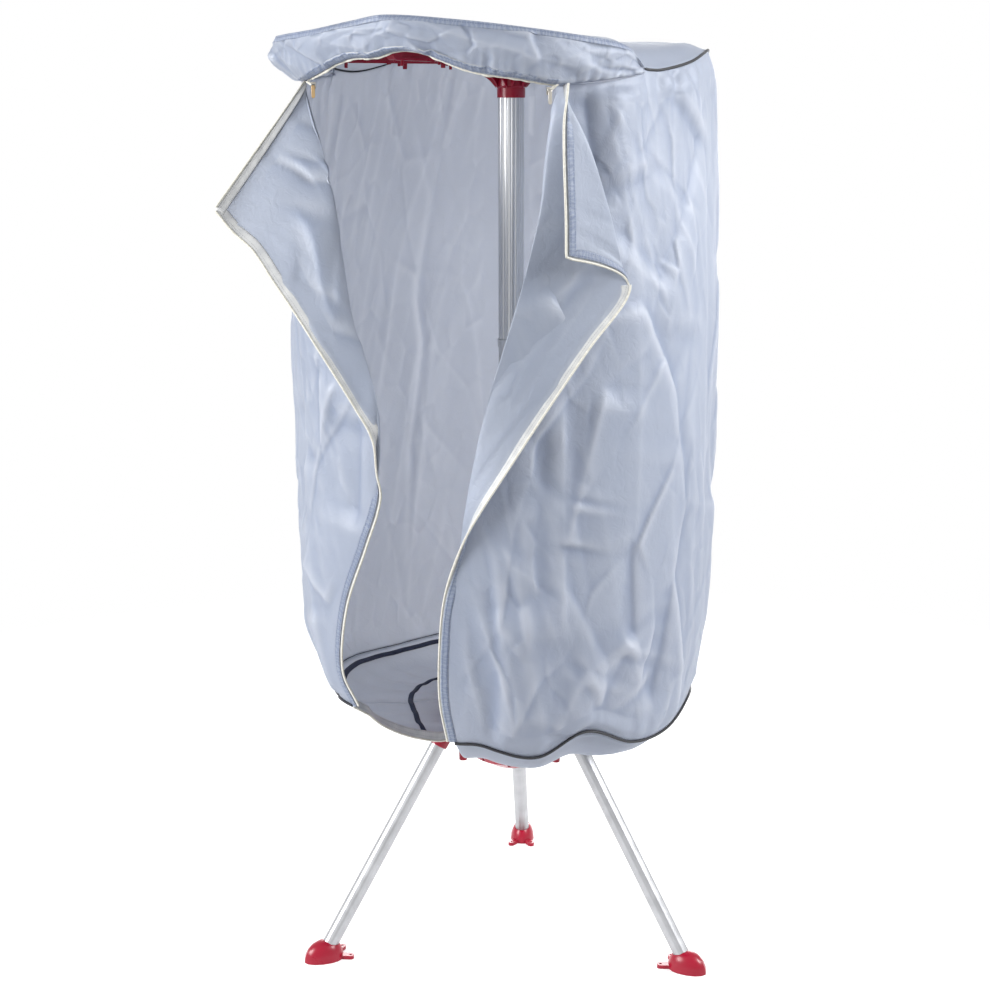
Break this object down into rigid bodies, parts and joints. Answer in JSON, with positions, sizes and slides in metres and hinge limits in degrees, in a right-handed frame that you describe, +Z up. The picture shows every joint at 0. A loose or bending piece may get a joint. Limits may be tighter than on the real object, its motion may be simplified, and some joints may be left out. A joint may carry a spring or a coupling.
{
  "type": "heated clothes airer",
  "caption": "Fan-heated clothes airer: zipped fabric cover on folding hanger arms, central fluted pole, heater pod and folding tripod legs.",
  "frame": {"origin": "middle of the bounding box footprint, on the floor", "axes": "+Z up, the cover opens towards -Y"},
  "size_m": [0.7138, 0.6992, 1.4016],
  "materials": {
    "crimson": "gloss",
    "aluminium": "satin anodised",
    "fabric": "woven polyester with a slight sheen",
    "piping": "matte",
    "tape": "matte",
    "nickel": "polished",
    "steel": "brushed",
    "charcoal": "matte",
    "ceramic": "matte"
  },
  "bodies": {
    "frame": {"arm_1_pin": "steel", "arm_2_pin": "steel", "arm_3_pin": "steel", "arm_4_pin": "steel", "arm_5_pin": "steel", "arm_6_pin": "steel", "cable_gland": "charcoal", "cover_floor": "fabric", "cover_lid_band": "fabric", "cover_top": "fabric", "cover_wall_left": "fabric", "cover_wall_right": "fabric", "element_frame": "ceramic", "fan_motor": "steel", "heater_base": "crimson", "heater_cover": "crimson", "hub_spider": "crimson", "inlet_grille": "charcoal", "leg_1_pin": "steel", "leg_2_pin": "steel", "leg_3_pin": "steel", "motor_bracket": "charcoal", "piping_bottom": "piping", "piping_top": "piping", "pole_joiner": "crimson", "pole_lower": "aluminium", "pole_upper": "aluminium", "ptc_element": "aluminium", "terminal_block": "ceramic", "thermal_cutout": "steel", "timer_module": "charcoal", "top_cap": "crimson", "top_hub": "crimson", "zip_slider_left": "nickel", "zip_slider_right": "nickel", "zip_tape_left": "tape", "zip_tape_lid": "tape", "zip_tape_right": "tape"},
    "arm_1": {"arm_1": "crimson"},
    "arm_2": {"arm_2": "crimson"},
    "arm_3": {"arm_3": "crimson"},
    "arm_4": {"arm_4": "crimson"},
    "arm_5": {"arm_5": "crimson"},
    "arm_6": {"arm_6": "crimson"},
    "fan": {"fan_impeller": "charcoal"},
    "leg_1": {"leg_1_foot": "crimson", "leg_1_knuckle": "crimson", "leg_1_tube": "aluminium"},
    "leg_2": {"leg_2_foot": "crimson", "leg_2_knuckle": "crimson", "leg_2_tube": "aluminium"},
    "leg_3": {"leg_3_foot": "crimson", "leg_3_knuckle": "crimson", "leg_3_tube": "aluminium"},
    "knob": {"timer_knob": "charcoal"},
    "puller_left": {"zip_puller_left": "nickel"},
    "puller_right": {"zip_puller_right": "nickel"}
  },
  "joints": [
    {"name": "leg_1_fold", "type": "hinge", "parent": "frame", "child": "leg_1", "pos_m": [-0.04553, -0.0513, 0.34654], "axis": [0.4446, -0.8957, 0], "range_deg": [0, 32.2]},
    {"name": "leg_2_fold", "type": "hinge", "parent": "frame", "child": "leg_2", "pos_m": [0.14116, -0.06305, 0.34654], "axis": [0.5534, 0.8329, 0], "range_deg": [0, 32.2]},
    {"name": "leg_3_fold", "type": "hinge", "parent": "frame", "child": "leg_3", "pos_m": [0.05799, 0.10451, 0.34654], "axis": [-0.998, 0.0628, 0], "range_deg": [0, 32.2]},
    {"name": "arm_1_fold", "type": "hinge", "parent": "frame", "child": "arm_1", "pos_m": [0.01991, -0.04481, 1.35214], "axis": [0.7986, -0.6018, 0], "range_deg": [0, 82]},
    {"name": "arm_2_fold", "type": "hinge", "parent": "frame", "child": "arm_2", "pos_m": [0.07152, -0.05115, 1.35214], "axis": [0.9205, 0.3907, 0], "range_deg": [0, 82]},
    {"name": "arm_3_fold", "type": "hinge", "parent": "frame", "child": "arm_3", "pos_m": [0.10282, -0.00962, 1.35214], "axis": [0.1219, 0.9925, 0], "range_deg": [0, 82]},
    {"name": "arm_4_fold", "type": "hinge", "parent": "frame", "child": "arm_4", "pos_m": [0.0825, 0.03825, 1.35214], "axis": [-0.7986, 0.6018, 0], "range_deg": [0, 82]},
    {"name": "arm_5_fold", "type": "hinge", "parent": "frame", "child": "arm_5", "pos_m": [0.03089, 0.04458, 1.35214], "axis": [-0.9205, -0.3907, 0], "range_deg": [0, 82]},
    {"name": "arm_6_fold", "type": "hinge", "parent": "frame", "child": "arm_6", "pos_m": [-0.00041, 0.00305, 1.35214], "axis": [-0.1219, -0.9925, 0], "range_deg": [0, 82]},
    {"name": "fan_spin", "type": "hinge", "parent": "frame", "child": "fan", "pos_m": [0.05121, -0.00328, 0.41], "axis": [0, 0, 1], "continuous": true},
    {"name": "timer_turn", "type": "hinge", "parent": "frame", "child": "knob", "pos_m": [0.05121, -0.00328, 0.43034], "axis": [0.5299, -0.848, 0], "range_deg": [0, 300]},
    {"name": "puller_left_swing", "type": "hinge", "parent": "frame", "child": "puller_left", "pos_m": [-0.22516, -0.12342, 1.31387], "axis": [1, 0, 0], "range_deg": [-90, 0]},
    {"name": "puller_right_swing", "type": "hinge", "parent": "frame", "child": "puller_right", "pos_m": [0.10138, -0.32884, 1.30656], "axis": [0.9744, 0.225, 0], "range_deg": [-90, 0]}
  ]
}
